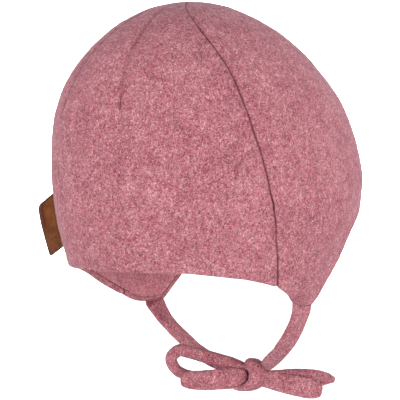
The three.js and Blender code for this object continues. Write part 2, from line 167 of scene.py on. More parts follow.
def form_point(azimuth, root):
    """A point on the hat's outer form; root is the square root of the drop from the crown's top."""
    turn = np.radians(azimuth)
    half = half_length(root)
    x = -WIDTH_SHARE * half * np.sin(turn)
    y = centre_y(root) + half * np.cos(turn)
    return np.stack(np.broadcast_arrays(x, y, TOP_Z - root * root), -1)


def form_normal(azimuth, root):
    """The outward normal of the form, from its slopes down and round."""
    step = 0.01
    low = np.maximum(root - step, 0)
    down = form_point(azimuth, root + step) - form_point(azimuth, low)
    around = form_point(azimuth + 1, root) - form_point(azimuth - 1, root)
    normal = np.cross(down, around)
    length = np.linalg.norm(normal, axis=-1, keepdims=True)
    return np.where(length > 1e-9, normal / np.maximum(length, 1e-9), (0.0, 0.0, 1.0))


def wall_point(azimuth, drop, depth):
    """A point in the cloth; depth is measured inward from the outer form."""
    azimuth, drop, depth = np.broadcast_arrays(azimuth, drop, depth)
    root = np.sqrt(np.maximum(drop, 0))
    return form_point(azimuth, root) - form_normal(azimuth, root) * depth[..., None]


def from_back(azimuth):
    """Degrees from the middle of the back, 0 to 180, on either side."""
    return np.abs((azimuth + 180) % 360 - 180)


def is_right(azimuth):
    """Whether an azimuth is on the wearer's right."""
    return (azimuth % 360) < 180


def rim_drop(azimuth):
    """How far the rim lies below the crown's top."""
    away = from_back(azimuth)
    return np.where(is_right(azimuth), rim_right(away), rim_left(away))


def hem_of(azimuth):
    """The turned-in hem is narrower from the flaps' tips forward."""
    return HEM + (FLAP_HEM - HEM) * smooth(from_back(azimuth), 78, 97)


# ---- Cloth relief -------------------------------------------------------------------------------
def hump(x):
    """A bell of height 1 about x = 0."""
    return np.exp(-x * x)


def smooth(x, low, high):
    """A soft step, from 0 at low to 1 at high."""
    t = np.clip((x - low) / (high - low), 0, 1)
    return t * t * (3 - 2 * t)


def humps(x, places):
    """The sum of bells, each given as (middle, reach, height)."""
    return sum(height * hump((x - middle) / reach) for middle, reach, height in places)


def ripples(points, wavelength, seed, waves=14):
    """A smooth random relief of about -1 to 1: waves of one length in all directions."""
    rng = np.random.default_rng(seed)
    total = np.zeros(points.shape[:-1])
    for _ in range(waves):
        way = rng.normal(size=3)
        length = np.linalg.norm(way) * wavelength * rng.uniform(0.75, 1.35)
        way *= 2 * math.pi / length
        total += np.sin(points @ way + rng.uniform(0, 2 * math.pi))
    return total * math.sqrt(2 / waves) * 0.7


def seam_wobble(drop):
    """How far the stitched line strays sideways, in mm: a little all along, and two jogs."""
    stray = 0.14 * np.sin(drop / 2.9) + 0.16 * np.sin(drop / 7.3 + 1.3)
    return stray + humps(drop, SEAM_JOGS)


def degrees_round(mm, drop):
    """A distance round the head at a drop, in degrees; near the crown's top it stops growing."""
    return np.degrees(mm / np.maximum(half_length(np.sqrt(drop)), 20))


def seam_azimuth(drop):
    """Where the stitched side seam runs, in degrees from the middle of the back."""
    return seam_line(drop) + degrees_round(seam_wobble(drop), drop)


def distance(azimuth, drop, line_azimuth):
    """Millimetres round the head from a line that runs down it."""
    return half_length(np.sqrt(drop)) * np.radians(np.abs(from_back(azimuth) - line_azimuth))


def seam_roll(drop):
    """The radius that the cloth's edge rolls in by at a side seam: pressed flat at the crown."""
    return 0.35 + 0.5 * smooth(drop, 5, 24) + 0.55 * hump((drop - 101) / 5)


def rolled(distance_in, radius):
    """How deep a rounded edge lies at a distance in from its end."""
    inside = np.clip(radius - distance_in, 0, radius)
    return radius - np.sqrt(radius * radius - inside * inside)


def panel_relief(azimuth, drop, points, side_key):
    """The cloth's dents in mm, and from 0 to 1 how much painted shade darkens its creases."""
    from_seam = distance(azimuth, drop, seam_azimuth(drop))
    dart_line = dart_lines[side_key]
    from_dart = distance(azimuth, drop, dart_line(drop))
    dart_fade = smooth(drop, DART_END + 2, DART_END - 22) * smooth(drop, 2, 9)
    dart_tip = hump((drop - (DART_END - 5)) / 5)
    open_seam = smooth(drop, 5, 24)
    # The seam: its rolled edge, the hollow along it and the puckers of its stitches
    dent = rolled(from_seam, seam_roll(drop))
    dent += 0.35 * hump(from_seam / 4.5) * open_seam
    pucker = np.sin(drop / 1.55 + 1.6 * np.sin(drop / 6.1) + side_key * 2.1)
    dent += 0.16 * pucker * np.exp(-from_seam / 4) * smooth(from_seam, 0.2, 2) * open_seam
    # The dart: a fine groove in a wide soft one, and its stitched tip
    dent += dart_fade * (0.5 * hump(from_dart / 1.2) + 0.34 * hump(from_dart / 4.5))
    dent += dart_tip * 0.3 * hump(from_dart / 0.8)
    # On the right side, a short pinch across by the seam and a soft pull down from the crown
    right = is_right(azimuth)
    pinch_round = azimuth - PINCH_AT[0]
    pinch = hump((drop - PINCH_AT[1] - 0.2 * pinch_round) / 0.7) * hump(pinch_round / 3) * right
    pull_line = PULL_AT[0] - 0.256 * (drop - 30.5)
    pull = hump((azimuth - pull_line) / 1.6) * hump((drop - PULL_AT[1]) / 9) * right
    dent += 0.35 * pinch + 0.3 * pull
    # The cloth's own unevenness
    dent += 0.28 * ripples(points, 42, 3) + 0.1 * ripples(points, 15, 5)
    dent += 0.06 * ripples(points, 4.2, 7, 26)
    # Painted shade: darker colour in the seam's crevice, along the dart and at its tip, in the
    # pinch and the pull
    crease = hump(from_seam / 0.6) * (0.4 + 0.35 * open_seam + humps(drop, SEAM_SHADES))
    crease += 0.36 * dart_fade * hump(from_dart / 1.5) + 0.8 * dart_tip * hump(from_dart / 0.8)
    return dent, np.clip(crease + 0.3 * pinch + 0.15 * pull, 0, 1)


# ---- Making a piece -----------------------------------------------------------------------------
MERGE_WITHIN = 3e-6  # metres


def make_piece(name, points, material, slot, replaced, **layers):
    """A closed mesh from a grid whose crossings move to points (rows, columns, xyz in mm).
    Each layer is a point attribute that the material reads."""
    rows, columns = points.shape[:2]
    mesh = bpy.data.meshes.new(name)
    bm = bmesh.new()
    bmesh.ops.create_grid(bm, x_segments=columns - 1, y_segments=rows - 1, size=0.5)
    bm.to_mesh(mesh)
    bm.free()
    flat = np.empty(len(mesh.vertices) * 3, np.float32)
    mesh.vertices.foreach_get("co", flat)
    flat = flat.reshape(-1, 3)
    i = np.rint((flat[:, 0] + 0.5) * (columns - 1)).astype(int)
    j = np.rint((flat[:, 1] + 0.5) * (rows - 1)).astype(int)
    mesh.vertices.foreach_set("co", (points[j, i] * MM).astype(np.float32).ravel())
    for layer, values in layers.items():
        data = mesh.attributes.new(layer, "FLOAT", "POINT").data
        data.foreach_set("value", values[j, i].astype(np.float32))
    bm = bmesh.new()
    bm.from_mesh(mesh)
    bmesh.ops.remove_doubles(bm, verts=bm.verts, dist=MERGE_WITHIN)
    open_edges = [edge for edge in bm.edges if edge.is_boundary]
    bmesh.ops.holes_fill(bm, edges=open_edges, sides=0)
    bmesh.ops.recalc_face_normals(bm, faces=bm.faces)
    if bm.calc_volume(signed=True) < 0:
        bmesh.ops.reverse_faces(bm, faces=bm.faces)
    for face in bm.faces:
        face.smooth = True
    bm.to_mesh(mesh)
    bm.free()
    mesh.materials.append(material)
    made = bpy.data.objects.new(name, mesh)
    bpy.context.scene.collection.objects.link(made)
    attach(made, "root")
    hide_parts(replaced)
    return made


# ---- Materials ----------------------------------------------------------------------------------
def colour(code):
    """An sRGB hex colour as linear RGBA."""
    parts = [int(code[i : i + 2], 16) / 255 for i in (1, 3, 5)]
    return [p / 12.92 if p <= 0.04045 else ((p + 0.055) / 1.055) ** 2.4 for p in parts] + [1]


def add(tree, kind, inputs=None, stops=(), **settings):
    """A node with its settings. Its inputs are values, hex colours or links from other nodes'
    outputs, and the stops of a colour ramp are pairs of a position and a hex colour."""
    made = tree.nodes.new("ShaderNode" + kind)
    for key, value in settings.items():
        setattr(made, key, value)
    for key, value in (inputs or {}).items():
        if isinstance(value, bpy.types.NodeSocket):
            tree.links.new(value, made.inputs[key])
        else:
            made.inputs[key].default_value = colour(value) if isinstance(value, str) else value
    if stops:
        elements = made.color_ramp.elements
        while len(elements) < len(stops):
            elements.new(0.5)
        for element, (position, code) in zip(elements, stops):
            element.position = position
            element.color = colour(code)
    return made


def new_material(name):
    """An empty material and its node tree."""
    material = bpy.data.materials.new(name)
    material.use_nodes = True
    material.node_tree.nodes.clear()
    return material, material.node_tree


def speckle(coords, size_mm, roughness=0.5, detail=2):
    """The inputs of a noise whose grains are about size_mm across."""
    scale = 1 / (size_mm * MM)
    return {"Vector": coords, "Scale": scale, "Detail": detail, "Roughness": roughness}


def weigh(tree, *parts):
    """The sum of values, each times its weight."""
    total = 0.0
    for value, weight in parts:
        inputs = {0: value, 1: weight, 2: total}
        total = add(tree, "Math", inputs, operation="MULTIPLY_ADD").outputs[0]
    return total


def over(tree, base, *layers):
    """A base colour with layers over it, each a share and a colour."""
    for share, code in layers:
        inputs = {0: share, 6: base, 7: code}  # the Mix node's factor and its two colours
        base = add(tree, "Mix", inputs, data_type="RGBA").outputs[2]
    return base


def fleece(name, grades, rose, ash, sheen):
    """Boiled wool fleece, dyed in the fibre and brushed: mixed light and dark fibres give the eye
    a fine grain of pinks and mauves, a soft mottling, no gloss, and a pale bloom at the edges.
    The grades run from the darkest fibres to the lightest; rose and ash are stray dye lots."""
    material, tree = new_material(name)
    coords = add(tree, "TexCoord").outputs["Object"]
    # In mm across, with a roughness: tufts of brushed fibre, 0.5 to 1 mm because single fibres are
    # too fine to show, and coarser ones; the uneven mixing of the dyed fibres and of one batch with
    # the next; and the stray fibres of each dye lot
    grains = ((0.75, 0.6), (1.7, 0.5), (6, 0.5), (24, 0.5), (3.1, 0.6), (2.3, 0.6))
    fibres, tufts, mottle, batch, rosy, ashen = [
        add(tree, "TexNoise", speckle(coords, *grain)).outputs["Fac"] for grain in grains
    ]
    mixed = weigh(tree, (fibres, 0.57), (tufts, 0.24), (mottle, 0.11), (batch, 0.08))
    stops = list(zip((0.31, 0.427, 0.5, 0.573, 0.69), grades))
    base = add(tree, "ValToRGB", {"Fac": mixed}, stops).outputs["Color"]
    strays = []
    for fleck, code, most in ((rosy, rose, "#C0C0C0"), (ashen, ash, "#B0B0B0")):
        share = add(tree, "ValToRGB", {"Fac": fleck}, ((0.5, "#000000"), (0.8, most)))
        strays.append((share.outputs["Color"], code))
    # Painted shade in the creases: a deep maroon mixed in where seams, darts, gathers and pinches
    # fold in
    crease = add(tree, "Attribute", attribute_name="crease").outputs["Fac"]
    shade = over(tree, base, *strays, (crease, "#5F1424"))
    relief = weigh(tree, (fibres, 0.6), (tufts, 0.8))
    bump = add(tree, "Bump", {"Strength": 0.6, "Distance": 0.35 * MM, "Height": relief})
    shader = add(
        tree,
        "BsdfPrincipled",
        {
            "Base Color": shade,
            "Normal": bump.outputs[0],
            "Roughness": 0.95,
            "IOR": 1.45,
            "Specular IOR Level": 0.15,
            "Sheen Weight": sheen,
            "Sheen Roughness": 0.45,
            "Sheen Tint": "#B8B4C0",
        },
    )
    add(tree, "OutputMaterial", {"Surface": shader.outputs[0]})
    return material


outer_fleece = fleece(
    "boiled_wool_melange_fleece",
    grades=("#5A2631", "#8E4F59", "#AD6B74", "#C7898F", "#E8BCBC"),
    rose="#AD495E",
    ash="#9C858C",
    sheen=0.3,
)
# The lining is the outer fleece's cloth with lighter grades: painted light for the light that
# reaches the head's hollow
lining_fleece = fleece(
    "lining_fleece_painted_lighter",
    grades=("#8A434F", "#B7707B", "#CD848D", "#DF9CA3", "#F0BFC2"),
    rose="#C46175",
    ash="#B49EA4",
    sheen=0.25,
)


def leather():
    """Vegetable-tanned cowhide, folded and waxed: warm brown with a fine pebbled grain, painted
    shade that is redder and darker along its fold, and nearly black-brown burnished edges."""
    material, tree = new_material("veg_tanned_leather")
    coords = add(tree, "TexCoord").outputs["Object"]
    cells = {"Vector": coords, "Scale": 1 / (0.7 * MM)}  # the grain's pebbles are 0.7 mm across
    pebble = add(tree, "TexVoronoi", cells, feature="DISTANCE_TO_EDGE").outputs["Distance"]
    pull = add(tree, "TexNoise", speckle(coords, 2.2, 0.6, detail=3)).outputs["Fac"]
    cloud = add(tree, "TexNoise", speckle(coords, 7)).outputs["Fac"]
    mixed = weigh(tree, (pull, 0.5), (cloud, 0.5))
    stops = ((0.35, "#633515"), (0.5, "#7F4A20"), (0.66, "#965B2B"))
    base = add(tree, "ValToRGB", {"Fac": mixed}, stops).outputs["Color"]
    fold = add(tree, "Attribute", attribute_name="fold").outputs["Fac"]
    edge = add(tree, "Attribute", attribute_name="edge").outputs["Fac"]
    # The fold's red-brown is painted shade; the nearly black-brown edges are burnished
    shade = over(tree, base, (fold, "#66290F"), (edge, "#3A2210"))
    relief = weigh(tree, (pebble, 1.2), (pull, 0.6))
    bump = add(tree, "Bump", {"Strength": 0.35, "Distance": 0.2 * MM, "Height": relief})
    shader = add(
        tree,
        "BsdfPrincipled",
        {
            "Base Color": shade,
            "Normal": bump.outputs[0],
            "Roughness": 0.55,
            "IOR": 1.5,
            "Specular IOR Level": 0.35,
        },
    )
    add(tree, "OutputMaterial", {"Surface": shader.outputs[0]})
    return material


tab_leather = leather()


# ---- Outer panels -------------------------------------------------------------------------------
INNER_FACE = 1.45  # the depth of the cloth's hidden face
SEAM_COLUMNS = [0, 0.1, 0.28, 0.55, 0.9, 1.3, 1.8, 2.5, 3.5]  # the closest ones, in mm from a seam


def steepness(azimuth, drop):
    """How much longer the way down to the rim is than the way straight across to it."""
    arc = math.radians(2) * half_length(np.sqrt(drop))
    return np.hypot(1, (rim_drop(azimuth + 1) - rim_drop(azimuth - 1)) / arc)


def panel_azimuth(steps, middle, drop):
    """The azimuths of a panel's columns at each drop, from one seam to the other."""
    near = len(SEAM_COLUMNS)
    from_edge = np.minimum(np.arange(2 * steps + 1), np.arange(2 * steps, -1, -1))
    offset = np.array(SEAM_COLUMNS)[np.minimum(from_edge, near - 1)]
    share = np.maximum(from_edge - near + 1, 0) / (steps - near + 1)
    way = 1 if middle else -1
    start = seam_azimuth(drop) + way * degrees_round(offset, drop)
    away = start + (middle - start) * share
    flip = np.arange(2 * steps + 1) > steps
    return np.where(flip, 2 * middle - away, away)  # the far half mirrors the near one


def rim_notch(azimuth, drop):
    """How far a side seam draws the rim up, most of all on the right."""
    deep = np.where(is_right(azimuth), 0.9, 0.3)
    return deep * hump(distance(azimuth, drop, seam_azimuth(drop)) / 1.5)


def rim_of(steps, middle):
    """A panel's rim at each column: its drop, how steeply it runs, and its hem's depth."""
    drop = np.full(2 * steps + 1, 140.0)
    for _ in range(14):  # the rim's drop and its azimuth settle between them
        azimuth = panel_azimuth(steps, middle, drop)
        drop = rim_drop(azimuth)
    # The rim runs a little unevenly, but for the flaps' tips
    wave = 0.12 * np.sin(azimuth / 4.1) + 0.06 * np.sin(azimuth / 1.9 + 1)
    wave *= smooth(np.abs(from_back(azimuth) - TIP_AZIMUTH), 8, 14)
    return drop - rim_notch(azimuth, drop) + wave, steepness(azimuth, drop), hem_of(azimuth)


def rows_down(count):
    """Row shares close together on the crown and even down the sides."""
    return 1 - np.cos(np.linspace(0, math.pi / 2, count + 1))


def rim_profile(hem):
    """From the outer face round the rolled rim and up the hem: distance to the rim, and depth.
    The hem sinks into the wall towards its end."""
    radius = WALL / 2
    turn = np.radians([0, 18, 38, 58, 76, 90, 104, 122, 142, 162, 180])
    roll = (radius * (1 - np.sin(turn)))[:, None] + 0 * hem
    shares = np.array([0.67, 0.33, 0.29, 0.57, 0.81, 0.94, 1])[:, None]
    flats = radius + shares * (hem - radius)
    across = np.vstack((flats[:2], roll, flats[2:]))  # two rows outside, five inside
    sunk = WALL - np.array([0, 0.05, 0.2, 0.45, 0.8])
    depth = np.concatenate(([0, 0], radius * (1 - np.cos(turn)), sunk))
    return across, depth[:, None]


def panel_points(steps, rows, middle):
    """A panel's grid, down its outer face, round the rim and up its hidden face, and its painted
    crease shade.
    """
    rim, slope, hem = rim_of(steps, middle)
    edge = rim - hem * slope
    shares = rows_down(rows)[:, None]
    across, depth = rim_profile(hem)
    drop = np.vstack((shares * edge, rim - across * slope, shares[::-1] * edge))
    azimuth = np.stack([panel_azimuth(steps, middle, row) for row in drop])
    smooth_points = wall_point(azimuth, drop, 0)
    dent, crease = panel_relief(azimuth, drop, smooth_points, 1 if middle else 0)
    outer = np.arange(len(drop)) <= rows + 2
    inner = np.arange(len(drop)) > rows + len(depth)
    roll = np.vstack((np.zeros((rows + 1, 1)), depth, np.zeros((rows + 1, 1))))
    lift = np.clip(1 - roll / INNER_FACE, 0, 1)  # the outer face's relief fades round the rim
    total = np.where(inner[:, None], INNER_FACE + 0 * dent, roll + dent * lift)
    edge_depth = seam_roll(drop)
    pinch = rolled(distance(azimuth, drop, seam_azimuth(drop)), edge_depth)
    on_face = (inner | outer)[:, None]
    total = np.where(on_face, total, np.maximum(total, pinch))
    at_edge = (np.arange(2 * steps + 1) % (2 * steps)) == 0
    total = np.where(at_edge[None, :] & on_face, edge_depth, total)
    total[0], total[-1] = seam_roll(0), seam_roll(0)
    points = wall_point(azimuth, drop, total)
    return points, crease * np.where(inner[:, None], 0, 1)


def make_panel(name, steps, rows, middle, shift):
    """One outer panel about the azimuth of its middle, moved back by shift."""
    points, crease = panel_points(steps, rows, middle)
    points[..., 1] += shift
    return make_piece(name + "_cloth", points, outer_fleece, "fleece", name, crease=crease)


back_cloth = make_panel("back_panel", 84, 148, 0, SEAM_GAP / 2)
front_cloth = make_panel("front_panel", 122, 148, 180, -SEAM_GAP / 2)


# ---- Lining -------------------------------------------------------------------------------------
LINING_CLEAR = 0.25  # between the hem's end and the lining's edge
LINING_BEND = 0.6  # the radius of the lining's folded edge


def lining_points(columns, rows):
    """The lining's grid, down its hidden face, round its edge and up inside the head's hollow."""
    azimuth = np.linspace(0, 360, columns + 1)
    rim = rim_drop(azimuth)
    slope = steepness(azimuth, rim)
    edge = rim - rim_notch(azimuth, rim) - (hem_of(azimuth) + LINING_CLEAR) * slope
    turn = np.radians([0, 25, 50, 75, 105, 130, 155, 180])
    lower = LINING_BEND * (1 - np.sin(turn))[:, None]
    middle_depth = WALL - LINING_BEND
    shares = rows_down(rows)[:, None]
    top = edge - LINING_BEND * slope
    drop = np.vstack((shares * top, edge - lower * slope, shares[::-1] * top))
    azimuth = np.broadcast_to(azimuth, drop.shape)
    smooth_points = wall_point(azimuth, drop, WALL)
    from_seam = distance(azimuth, drop, seam_azimuth(drop))
    dent = 0.25 * hump(from_seam) + 0.25 * hump(from_seam / 5)
    for line in dart_lines:
        fade = smooth(drop, DART_END, DART_END - 18)
        dent = dent + 0.5 * fade * hump(distance(azimuth, drop, line(drop)) / 1.6)
    dent = dent - 0.25 * ripples(smooth_points, 30, 11) - 0.08 * ripples(smooth_points, 6, 13)
    roll = (middle_depth - LINING_BEND * np.cos(turn))[:, None]
    hidden, shown = [np.full((rows + 1, 1), d) for d in (WALL - LINING_CLOTH, WALL)]
    depth = np.vstack((hidden, roll, shown))
    inside = smooth(depth, WALL - LINING_CLOTH, WALL)  # only the face in the hollow has relief
    # Painted shade along the lining's side seams
    crease = hump(from_seam / 0.8) * 0.3 * inside
    return wall_point(azimuth, drop, depth - dent * inside), crease


lining_at, lining_crease = lining_points(230, 90)
lining_cloth = make_piece(
    "lining_cloth", lining_at, lining_fleece, "fleece", "lining", crease=lining_crease
)


# ---- Straps -------------------------------------------------------------------------------------
# The columns of a strap's table: its middle line, its size and the way that its width points
STRAP = "x y z width thick across_x across_y across_z"
SADDLE_EDGE = 0.55  # the radius of a tie's start, where it straddles the flap's rim
SADDLE_HALF = 1.4  # how far off its middle a tie's start still follows the rim's roll
RIM_LEAN = 0.22  # the flap's inward lean there, as a slope
CORNER_REACH = 0.14  # the start's corners reach up as if this much further round the head


def along(rows, t):
    """The smooth path through the rows of an array, t from 0 to 1 in even steps from row to row."""
    rows = np.asarray(rows, float)
    rows = np.vstack((2 * rows[0] - rows[1], rows, 2 * rows[-1] - rows[-2]))
    spans = len(rows) - 3
    at = np.clip(np.asarray(t, float) * spans, 0, spans)
    i = np.minimum(at.astype(int), spans - 1)
    u = (at - i)[..., None]
    p = [rows[i + k] for k in range(4)]
    gaps = [np.linalg.norm(p[k + 1] - p[k], axis=-1, keepdims=True) ** 0.5 for k in range(3)]
    start = (p[1] - p[0]) / gaps[0] - (p[2] - p[0]) / (gaps[0] + gaps[1]) + (p[2] - p[1]) / gaps[1]
    end = (p[2] - p[1]) / gaps[1] - (p[3] - p[1]) / (gaps[1] + gaps[2]) + (p[3] - p[2]) / gaps[2]
    start, end = start * gaps[1], end * gaps[1]
    one = p[1] * (2 * u**3 - 3 * u**2 + 1) + p[2] * (3 * u**2 - 2 * u**3)
    return one + start * (u**3 - 2 * u**2 + u) + end * (u**3 - u**2)


def unit(vectors):
    """Vectors of length 1."""
    return vectors / np.maximum(np.linalg.norm(vectors, axis=-1, keepdims=True), 1e-9)


def strap_stations(length, start_radius, end_radius, step):
    """Distances along a strap, close together at its rounded ends."""
    close = np.array([0, 0.03, 0.1, 0.2, 0.36, 0.56, 0.78])
    count = max(4, round((length - start_radius - end_radius) / step))
    body = np.linspace(start_radius, length - end_radius, count + 1)
    return np.concatenate((start_radius * close, body, length - end_radius * close[::-1]))


def tip_azimuth(points):
    """The azimuth of a point at the height of the flaps' tips."""
    from_middle = points[..., 1] - centre_y(math.sqrt(TIP_DROP))
    return np.degrees(np.arctan2(-points[..., 0] / WIDTH_SHARE, from_middle))


def straddle(points, tangent, lift, at_mm, start_at):
    """A tie's start shaped to the flap's rolled rim that it is sewn to, which leans inward, with
    its corners reaching up along the flap's edges."""
    rim_radius = 0.5 * WALL
    off_middle = np.minimum(np.abs(lift), SADDLE_HALF)
    rise = rim_radius - np.sqrt(rim_radius**2 - off_middle**2)
    side = np.sign(start_at[0])
    rise = (rise + RIM_LEAN * side * lift) * np.exp(-at_mm / 1.5)[:, None]
    points = points - tangent[:, None] * rise[..., None]
    azimuth, start = tip_azimuth(points), tip_azimuth(start_at)
    azimuth = azimuth + CORNER_REACH * (azimuth - start)
    reach = np.clip(rim_drop(start) - rim_drop(azimuth), -0.3, 4)
    points[..., 2] += reach * np.exp(-((at_mm / 3) ** 2))[:, None]
    return points


def strap_points(strap, sides, step, corner, relief, saddle):
    """A soft flat strap along a table's rows, rounded off at its ends, and its painted crease
    shade.
    """
    middle_line = np.stack([strap[key] for key in "xyz"], -1)
    count = len(middle_line)
    steps = np.arange(count)
    numbered = {"i": steps, "width": strap["width"], "thick": strap["thick"]}
    dense = np.linspace(0, 1, 40 * count)
    spine = along(middle_line, dense)
    lengths = np.concatenate(([0], np.cumsum(np.linalg.norm(np.diff(spine, axis=0), axis=1))))
    start_radius = SADDLE_EDGE if saddle else 0.5 * strap["thick"][0]
    end_radius = 0.5 * strap["thick"][-1]
    at_mm = strap_stations(lengths[-1], start_radius, end_radius, step)
    t = np.interp(at_mm, lengths, dense)
    middle = along(middle_line, t)
    ahead, behind = np.minimum(t + 1e-3, 1), np.maximum(t - 1e-3, 0)
    tangent = unit(along(middle_line, ahead) - along(middle_line, behind))
    widths_way = np.stack([strap["across_" + key] for key in "xyz"], -1)
    across = along(widths_way + 1e-6 * steps[:, None], t)  # rows that repeat stay apart
    across = unit(across - tangent * np.sum(across * tangent, -1, keepdims=True))
    face = np.cross(tangent, across)
    near = at_mm < 0.5 * lengths[-1]
    radius = np.where(near, start_radius, end_radius)
    to_end = np.minimum(at_mm, lengths[-1] - at_mm) / radius
    rounding = np.sqrt(np.clip(1 - (1 - np.minimum(to_end, 1)) ** 2, 0, 1))
    # Half the width and half the thickness, drawn in round the ends
    wide = 0.5 * curve(numbered, "i", "width")(t * (count - 1))
    wide = wide - radius * (1 - rounding)
    thick = 0.5 * curve(numbered, "i", "thick")(t * (count - 1)) * rounding
    # The section is an ellipse, squared off by the corner number
    angle = np.linspace(0, 2 * math.pi, sides + 1) + math.pi / sides
    c, s = np.cos(angle), np.sin(angle)
    c, s = [np.sign(v) * np.abs(np.round(v, 9)) ** corner for v in (c, s)]
    points = middle[:, None] + across[:, None] * (wide[:, None] * c)[..., None]
    lift = thick[:, None] * s
    points = points + face[:, None] * lift[..., None]
    if saddle:
        points = straddle(points, tangent, lift, at_mm, middle_line[0])
    down, around = np.gradient(points, axis=0), np.gradient(points, axis=1)
    around[:, 0] = around[:, -1] = points[:, 1] - points[:, -2]
    normal = unit(np.cross(down, around))
    outward = np.sign(np.sum(normal * (points - middle[:, None]), -1, keepdims=True))
    dent, crease = relief(at_mm[:, None], lengths[-1], angle[None, :], points)
    dent, crease = dent * rounding[:, None], crease * np.ones_like(dent)
    dent[:, -1], crease[:, -1] = dent[:, 0], crease[:, 0]
    return points - normal * outward * dent[..., None], crease


def tie_relief(knot_at_end, inner_face=0):
    """A turned tube of cloth: a seam along one edge, soft dents, gathers towards the knot, and on
    the side of inner_face the stitches that hold it to the flap."""

    def relief(mm, length, angle, points):
        to_knot = length - mm if knot_at_end else mm
        seam = hump(((angle + 0.25) % (2 * math.pi) - 0.25) / 0.16)
        gather = np.exp(-to_knot / 9)
        dent = 0.4 * seam + 0.32 * gather * (1 + np.cos(3 * angle + mm / 5))
        dent = dent + 0.07 * ripples(points, 11, 21) + 0.05 * ripples(points, 3.4, 23)
        # Painted shade in the seam and in the folds of the gathers, and a darker band where the tie
        # is sewn to the flap
        crease = 0.35 * seam + 0.45 * gather * hump((np.cos(3 * angle + mm / 5) - 1) / 0.4)
        sewn = 0.8 * hump((mm - 1) / 0.8) * (inner_face * np.sin(angle) > 0.1)
        return dent, crease + sewn

    return relief


def knot_relief(mm, length, angle, points):
    """Soft dents, and the shadowed edge that presses into the left loop."""
    dent = 0.1 * ripples(points, 8, 31) + 0.05 * ripples(points, 3.4, 33)
    pressed = hump((angle - 1.32 * math.pi) / 0.27) * smooth(mm, 2, 5) * smooth(length - mm, 3, 8)
    return dent + 0.2 * pressed, pressed


def make_strap(name, strap, sides, step, relief, corner=0.72, frame_turn=None, saddle=False):
    """One strap; the smaller its corner number, the squarer its section. frame_turn is the turn
    and the place of the frame that its table is in."""
    points, crease = strap_points(strap, sides, step, corner, relief, saddle)
    if frame_turn:
        points = points @ frame_turn[0] + frame_turn[1]
    return make_piece(name + "_cloth", points, outer_fleece, "fleece", name, crease=crease)


def tie_start(side, seat_azimuth, wide, straight):
    """The first two rows of a tie, under the middle of the flap's tip."""
    azimuth = side * seat_azimuth
    tip = float(rim_drop(azimuth))
    seat = wall_point(azimuth, tip, WALL / 2)
    top = TOP_Z - tip + 0.24  # the leaning wall ends a little above the rim's own drop
    across = (side * 0.19, -1, 0)  # along the rim there
    return [
        (seat[0], seat[1], top, wide, 3.2, *across),
        (seat[0], seat[1], top - straight, wide - 0.8, 3.4, *across),
    ]


RIGHT_TIE = table(
    STRAP,
    *tie_start(1, 103.5, 17.2, 1.2),
    (-50.5, -15.6, -158.3, 14.4, 4.4, 0.22, -1, 0),
    (-45.9, -16.5, -164.6, 11.8, 4.6, 0.13, -0.98, -0.15),
    (-40, -17.8, -170.8, 9.6, 4.6, 0.02, -0.96, -0.3),
    (-30, -22.2, -176.8, 7.8, 4.4, -0.13, -0.88, -0.45),
    (-17, -29.4, -182, 7.4, 4.4, -0.4, -0.69, -0.6),
    (-7.6, -35, -185.4, 5.8, 3.4, -0.54, -0.54, -0.63),
    (-1.4, -36.8, -186.8, 4.2, 2.8, -0.54, -0.54, -0.63),
)
LEFT_TIE = table(
    STRAP,
    *tie_start(-1, 101.8, 11.8, 0.5),
    (51.1, -15.2, -156, 11.6, 4.2, -0.1, -1, -0.1),
    (47.4, -16.3, -161.2, 12, 4.4, 0, -1, -0.2),
    (43, -18.8, -166.5, 11, 4.6, 0, -1, -0.2),
    (38.7, -22.6, -172, 10.2, 4.6, 0, -1, -0.1),
    (34, -27, -177.7, 9.4, 4.6, 0.05, -0.9, 0.1),
    (26.5, -31.8, -183, 8.6, 4.4, 0.1, -0.6, 0.4),
    (15.6, -36, -186.8, 7.6, 4.2, 0.2, -0.4, 0.7),
    (3, -38.6, -189, 7, 4, 0.3, -0.2, 1),
)
# The bow's own frame: x along the bow, y to its outside, z up, from the middle of the knot
BOW_TURN = math.radians(210)
ALONG_BOW = (math.cos(BOW_TURN), math.sin(BOW_TURN), 0)
OUT_OF_BOW = (-math.sin(BOW_TURN), math.cos(BOW_TURN), 0)
KNOT_AT = (-2, -32, -188.6)
BOW_FRAME = (np.array((ALONG_BOW, OUT_OF_BOW, (0, 0, 1))), np.array(KNOT_AT))
KNOT = table(
    STRAP,
    (-4, -0.8, 5.2, 4, 3, 0, 1, 0),
    (-2, -0.9, 5, 9.6, 6.2, 0, 1, 0),
    (1.4, -1.2, 3.7, 13.4, 8.6, 0, 1, 0),
    (3.3, -1.3, 1.1, 15.2, 9.8, 0, 1, 0),
    (3.1, -1.3, -1.9, 15.4, 9.8, 0, 1, 0),
    (1.4, -1.2, -4.7, 14.8, 8, 0, 1, 0),
    (-2.6, -1.4, -7, 13, 4.9, 0, 1, 0),
    (-6.4, -1.8, -7.7, 11, 3, 0, 1, 0),
    (-10, -2.2, -7.5, 6, 1.8, 0, 1, 0),
)
LOOP_LEFT = table(
    STRAP,
    (-2, 1, 2.6, 6.4, 3.6, 0, 1, 0),
    (-9.8, 1.8, 4.4, 8.6, 6.2, -0.27, 0.96, 0),
    (-16.5, 2.2, 5.9, 9.8, 7.4, -0.27, 0.96, 0),
    (-25.4, 2.4, 8.2, 10.2, 7.4, -0.27, 0.96, 0),
    (-34.4, 2.4, 10.6, 10.4, 7, -0.27, 0.96, 0),
    (-41, 2.6, 11.4, 10.6, 6.5, -0.27, 0.96, 0),
    (-45.4, 3, 7.2, 10.8, 6.2, -0.27, 0.96, 0),
    (-43, 3.6, 1.3, 10.6, 6, -0.27, 0.96, 0),
    (-35, 4, -2.4, 10.2, 5.8, -0.27, 0.96, 0),
    (-25.4, 4.2, -2.8, 9.4, 5.6, -0.2, 0.98, 0),
    (-15, 3.8, -2.4, 8, 4.6, 0, 1, 0),
    (-2, 3, -2.2, 6, 3.8, 0, 1, 0),
)
